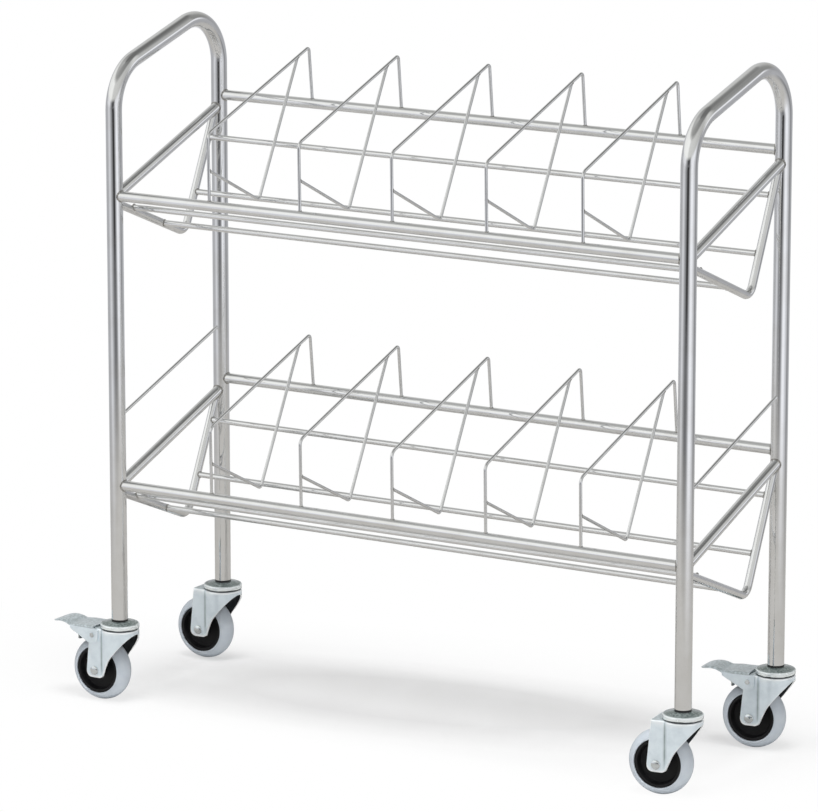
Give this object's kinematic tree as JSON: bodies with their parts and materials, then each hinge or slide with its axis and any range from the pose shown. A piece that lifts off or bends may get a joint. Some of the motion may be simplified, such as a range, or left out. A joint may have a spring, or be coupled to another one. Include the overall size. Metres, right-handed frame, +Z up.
{
  "type": "medical chart rack",
  "caption": "Two-tier wire chart rack: tube end frames with sloping push handles, V-shaped tiers of rods, wire dividers and swivel casters, some with a brake.",
  "frame": {"origin": "on the floor, midway between the four legs", "axes": "+X to the right along the rails, +Y to the back (the higher side), +Z up"},
  "size_m": [1.1413, 0.3522, 1.0554],
  "materials": {
    "chrome": "bright chrome plating",
    "zinc": "bright zinc plating",
    "fastener": "zinc plated",
    "steel_ball": "polished",
    "tyre": "matt grey rubber",
    "hub": "moulded black plastic",
    "insert": "moulded black plastic"
  },
  "bodies": {
    "rack": {"bearing_balls": "steel_ball", "front_left_swivel_head": "zinc", "front_right_swivel_head": "zinc", "left_end_frame": "chrome", "left_guard_wire": "chrome", "leg_inserts": "insert", "lower_corner_rod": "chrome", "lower_divider_1": "chrome", "lower_divider_2": "chrome", "lower_divider_3": "chrome", "lower_divider_4": "chrome", "lower_divider_5": "chrome", "lower_front_rail": "chrome", "lower_left_cradle": "chrome", "lower_left_side_tube": "chrome", "lower_low_back_rod": "chrome", "lower_mid_back_rod": "chrome", "lower_ramp_rod": "chrome", "lower_rear_rail": "chrome", "lower_right_cradle": "chrome", "lower_right_side_tube": "chrome", "rear_left_swivel_head": "zinc", "rear_right_swivel_head": "zinc", "right_end_frame": "chrome", "right_guard_wire": "chrome", "upper_corner_rod": "chrome", "upper_divider_1": "chrome", "upper_divider_2": "chrome", "upper_divider_3": "chrome", "upper_divider_4": "chrome", "upper_divider_5": "chrome", "upper_front_rail": "chrome", "upper_left_cradle": "chrome", "upper_left_side_tube": "chrome", "upper_low_back_rod": "chrome", "upper_mid_back_rod": "chrome", "upper_ramp_rod": "chrome", "upper_rear_rail": "chrome", "upper_right_cradle": "chrome", "upper_right_side_tube": "chrome"},
    "front_left_caster": {"front_left_fork": "zinc", "front_left_axle": "fastener", "front_left_brake_pin": "fastener"},
    "front_left_wheel": {"front_left_hub": "hub", "front_left_tyre": "tyre"},
    "front_left_brake_lever": {"front_left_brake_pedal": "zinc"},
    "rear_left_caster": {"rear_left_fork": "zinc", "rear_left_axle": "fastener"},
    "rear_left_wheel": {"rear_left_hub": "hub", "rear_left_tyre": "tyre"},
    "front_right_caster": {"front_right_fork": "zinc", "front_right_axle": "fastener"},
    "front_right_wheel": {"front_right_hub": "hub", "front_right_tyre": "tyre"},
    "rear_right_caster": {"rear_right_fork": "zinc", "rear_right_axle": "fastener", "rear_right_brake_pin": "fastener"},
    "rear_right_wheel": {"rear_right_hub": "hub", "rear_right_tyre": "tyre"},
    "rear_right_brake_lever": {"rear_right_brake_pedal": "zinc"}
  },
  "joints": [
    {"name": "front_left_swivel", "type": "hinge", "parent": "rack", "child": "front_left_caster", "pos_m": [-0.497, -0.1455, 0.118], "axis": [0, 0, 1], "continuous": true},
    {"name": "front_left_wheel_spin", "type": "hinge", "parent": "front_left_caster", "child": "front_left_wheel", "pos_m": [-0.53, -0.1455, 0.05], "axis": [0, -1, 0], "continuous": true},
    {"name": "front_left_brake_tilt", "type": "hinge", "parent": "front_left_caster", "child": "front_left_brake_lever", "pos_m": [-0.5325, -0.1455, 0.107], "axis": [0, -1, 0], "range_deg": [0, 9]},
    {"name": "rear_left_swivel", "type": "hinge", "parent": "rack", "child": "rear_left_caster", "pos_m": [-0.497, 0.1455, 0.118], "axis": [0, 0, 1], "continuous": true},
    {"name": "rear_left_wheel_spin", "type": "hinge", "parent": "rear_left_caster", "child": "rear_left_wheel", "pos_m": [-0.53, 0.1455, 0.05], "axis": [0, -1, 0], "continuous": true},
    {"name": "front_right_swivel", "type": "hinge", "parent": "rack", "child": "front_right_caster", "pos_m": [0.497, -0.1455, 0.118], "axis": [0, 0, 1], "continuous": true},
    {"name": "front_right_wheel_spin", "type": "hinge", "parent": "front_right_caster", "child": "front_right_wheel", "pos_m": [0.46425, -0.14952, 0.05], "axis": [0.1219, -0.9925, 0], "continuous": true},
    {"name": "rear_right_swivel", "type": "hinge", "parent": "rack", "child": "rear_right_caster", "pos_m": [0.497, 0.1455, 0.118], "axis": [0, 0, 1], "continuous": true},
    {"name": "rear_right_wheel_spin", "type": "hinge", "parent": "rear_right_caster", "child": "rear_right_wheel", "pos_m": [0.46425, 0.14148, 0.05], "axis": [0.1219, -0.9925, 0], "continuous": true},
    {"name": "rear_right_brake_tilt", "type": "hinge", "parent": "rear_right_caster", "child": "rear_right_brake_lever", "pos_m": [0.46176, 0.14117, 0.107], "axis": [0.1219, -0.9925, 0], "range_deg": [0, 9]}
  ]
}
